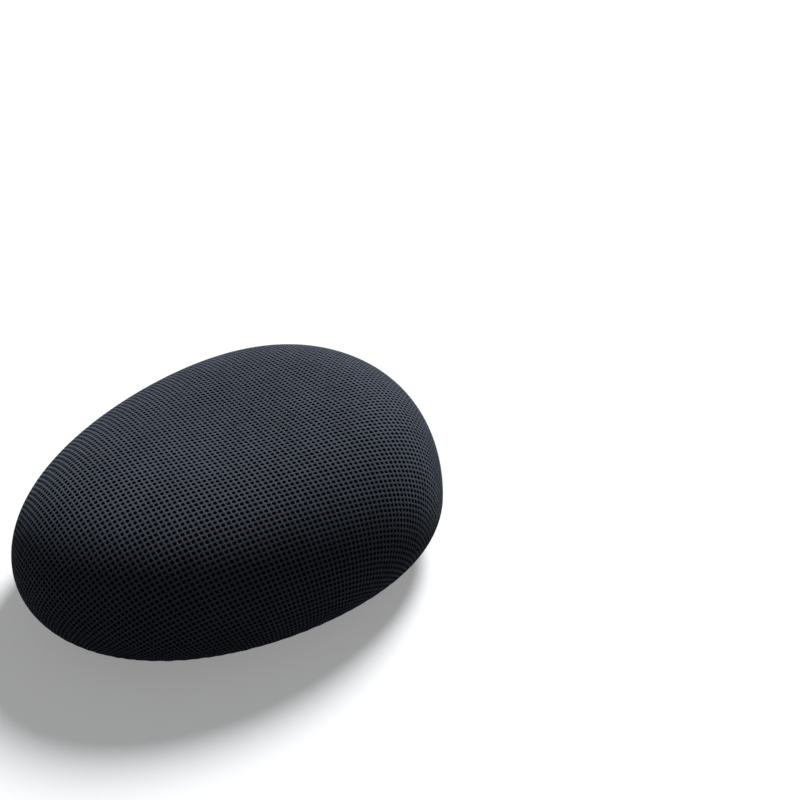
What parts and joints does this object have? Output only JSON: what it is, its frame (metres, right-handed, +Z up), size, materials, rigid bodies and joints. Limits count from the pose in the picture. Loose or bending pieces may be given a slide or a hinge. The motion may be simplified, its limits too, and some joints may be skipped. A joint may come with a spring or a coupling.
{
  "type": "bicycle seat cushion",
  "caption": "Broad padded bicycle saddle with a gathered black mesh cover, on a ribbed plastic pan with a steel bracket.",
  "frame": {"origin": "centre of the mounting bracket's flat lower face, which rests on the seat post's plate", "axes": "+Z up; the nose points along -Y and the wide tail along +Y; +X is the rider's left"},
  "size_m": [0.2646, 0.332, 0.1319],
  "materials": {
    "knitted_mesh": "matt black knitted air mesh",
    "hem_tape": "matt black elastic tape",
    "vinyl": "black vinyl",
    "foam": "open-cell foam",
    "moulded_plastic": "fine-textured black",
    "painted_steel": "black powder coat",
    "plated_steel": "bright zinc plate",
    "brass": "turned brass"
  },
  "bodies": {
    "root": {"mesh_cover": "knitted_mesh", "elastic_hem": "hem_tape", "vinyl_skin": "vinyl", "foam_pad": "foam", "base_pan": "moulded_plastic", "mounting_bracket": "painted_steel", "bolt_front_left": "plated_steel", "flat_washer_front_left": "plated_steel", "spring_washer_front_left": "plated_steel", "threaded_insert_front_left": "brass", "bolt_front_right": "plated_steel", "flat_washer_front_right": "plated_steel", "spring_washer_front_right": "plated_steel", "threaded_insert_front_right": "brass", "bolt_rear_left": "plated_steel", "flat_washer_rear_left": "plated_steel", "spring_washer_rear_left": "plated_steel", "threaded_insert_rear_left": "brass", "bolt_rear_right": "plated_steel", "flat_washer_rear_right": "plated_steel", "spring_washer_rear_right": "plated_steel", "threaded_insert_rear_right": "brass"}
  },
  "joints": []
}
